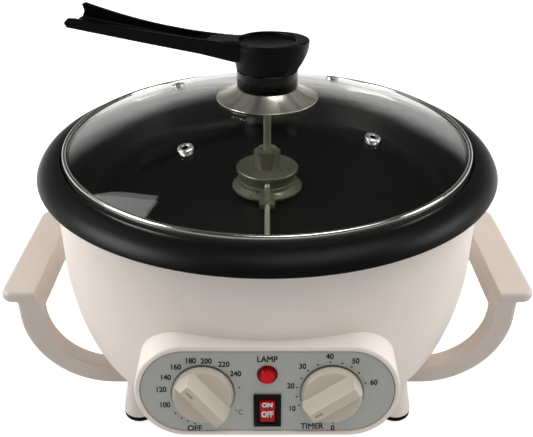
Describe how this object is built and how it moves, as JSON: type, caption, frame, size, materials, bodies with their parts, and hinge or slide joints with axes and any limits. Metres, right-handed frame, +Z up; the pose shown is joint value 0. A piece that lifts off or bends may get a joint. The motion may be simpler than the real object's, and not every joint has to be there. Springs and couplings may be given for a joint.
{
  "type": "home coffee bean roaster",
  "caption": "Countertop bean roaster: deep bowl on feet with side handles, non-stick pan with a driven stirrer, domed glass lid with knob and side arm, and a tilted control pod.",
  "frame": {"origin": "on the surface that the roaster stands on, below the roasting pan's axis and in the middle between the four feet", "axes": "+Z up along the pan's and the stirrer's axis, -Y out of the control panel's side, +X to the right hand of someone facing the control panel"},
  "size_m": [0.344, 0.3088, 0.2514],
  "materials": {
    "bowl_plastic": "satin moulded polypropylene, warm white",
    "handle_plastic": "satin moulded polypropylene, pale beige",
    "fascia_plastic": "fine-grained silver-grey ABS plate",
    "dial_plastic": "fine matte ABS, off-white",
    "red_plastic": "glossy translucent red polycarbonate",
    "black_plastic": "matte black phenolic and nylon",
    "gloss_black": "polished black phenolic",
    "pan_coating": "cast aluminium with a black non-stick coating",
    "lid_glass": "clear tempered glass",
    "lid_steel": "polished stainless steel sheet",
    "bright_trim": "nickel-plated brass",
    "rubber_foot": "soft black rubber",
    "silicone_seal": "black silicone",
    "machine_steel": "turned steel",
    "zinc_screws": "zinc-plated steel",
    "element_sheath": "heat-darkened stainless sheath",
    "shield_sheet": "rolled aluminium sheet",
    "stirrer_metal": "die-cast aluminium, tumbled and sealed",
    "gear_nylon": "natural acetal",
    "pinion_brass": "hobbed brass",
    "bush_bronze": "sintered bronze",
    "case_nylon": "black glass-filled nylon",
    "motor_steel": "zinc-plated pressed steel can and steel laminations",
    "unit_phenolic": "brown moulded phenolic"
  },
  "bodies": {
    "roaster": {"base_screws": "zinc_screws", "outer_bowl": "bowl_plastic", "base_plate": "bowl_plastic", "foot_posts": "bowl_plastic", "foot_pads": "rubber_foot", "right_handle": "handle_plastic", "left_handle": "handle_plastic", "roasting_pan": "pan_coating", "pan_seat_ring": "silicone_seal", "pan_bush": "bush_bronze", "heating_element": "element_sheath", "element_clips": "machine_steel", "heat_shield": "shield_sheet", "pan_studs": "machine_steel", "tie_rods": "machine_steel", "thermal_fuse": "machine_steel", "sensing_bulb": "machine_steel", "idler_pin": "machine_steel", "case_screws": "zinc_screws", "gearbox_case": "case_nylon", "gearbox_cover": "case_nylon", "shaft_bushes": "bush_bronze", "gearbox_standoffs": "machine_steel", "motor_can": "motor_steel", "motor_stator": "motor_steel", "control_housing": "bowl_plastic", "fascia_plate": "fascia_plastic", "thermostat_unit": "unit_phenolic", "timer_unit": "unit_phenolic", "lamp_bezel": "red_plastic", "lamp_lens": "red_plastic", "rocker_frame": "black_plastic", "power_inlet": "black_plastic", "inlet_pins": "bright_trim", "terminal_block": "unit_phenolic"},
    "lid": {"lid_glass": "lid_glass", "lid_ring": "lid_steel", "vent_eyelets": "bright_trim", "glass_washers": "silicone_seal", "rod_nuts": "zinc_screws", "hold_down_rod": "machine_steel", "cone_flange": "lid_steel", "knob_neck": "gloss_black", "knob_cup": "black_plastic", "knob_cap": "gloss_black", "handle_arm": "black_plastic"},
    "stirrer": {"drive_shaft": "machine_steel", "output_gear": "gear_nylon", "stir_hub": "stirrer_metal", "stir_cap": "stirrer_metal", "arm_pins": "machine_steel", "stir_wires": "machine_steel"},
    "idler": {"idler_gear": "gear_nylon"},
    "rotor": {"motor_rotor": "motor_steel", "motor_pinion": "pinion_brass"},
    "temperature_knob": {"temperature_dial": "dial_plastic", "temperature_shaft": "machine_steel"},
    "timer_knob": {"timer_dial": "dial_plastic", "timer_shaft": "machine_steel"},
    "rocker": {"rocker_button": "red_plastic"}
  },
  "joints": [
    {"name": "lid_lift", "type": "slide", "parent": "roaster", "child": "lid", "axis": [0, 0, 1], "range_m": [0, 0.08]},
    {"name": "stirrer_spin", "type": "hinge", "parent": "roaster", "child": "stirrer", "pos_m": [0, 0, 0.14], "axis": [0, 0, 1], "continuous": true},
    {"name": "idler_spin", "type": "hinge", "parent": "roaster", "child": "idler", "pos_m": [0, 0.0353, 0.073], "axis": [0, 0, 1], "continuous": true},
    {"name": "motor_spin", "type": "hinge", "parent": "roaster", "child": "rotor", "pos_m": [0.02825, 0.0353, 0.05], "axis": [0, 0, 1], "continuous": true},
    {"name": "temperature_turn", "type": "hinge", "parent": "roaster", "child": "temperature_knob", "pos_m": [-0.0344, -0.14763, 0.08171], "axis": [0, -0.9863, 0.165], "range_deg": [-123, 125]},
    {"name": "timer_turn", "type": "hinge", "parent": "roaster", "child": "timer_knob", "pos_m": [0.0344, -0.14763, 0.08171], "axis": [0, -0.9863, 0.165], "range_deg": [-202, 56]},
    {"name": "rocker_tilt", "type": "hinge", "parent": "roaster", "child": "rocker", "pos_m": [0, -0.14601, 0.07079], "axis": [1, 0, 0], "range_deg": [-14, 0]}
  ],
  "couplings": [
    {"joint": "idler_spin", "follows": "stirrer_spin", "ratio": -3},
    {"joint": "motor_spin", "follows": "stirrer_spin", "ratio": 7.5}
  ]
}
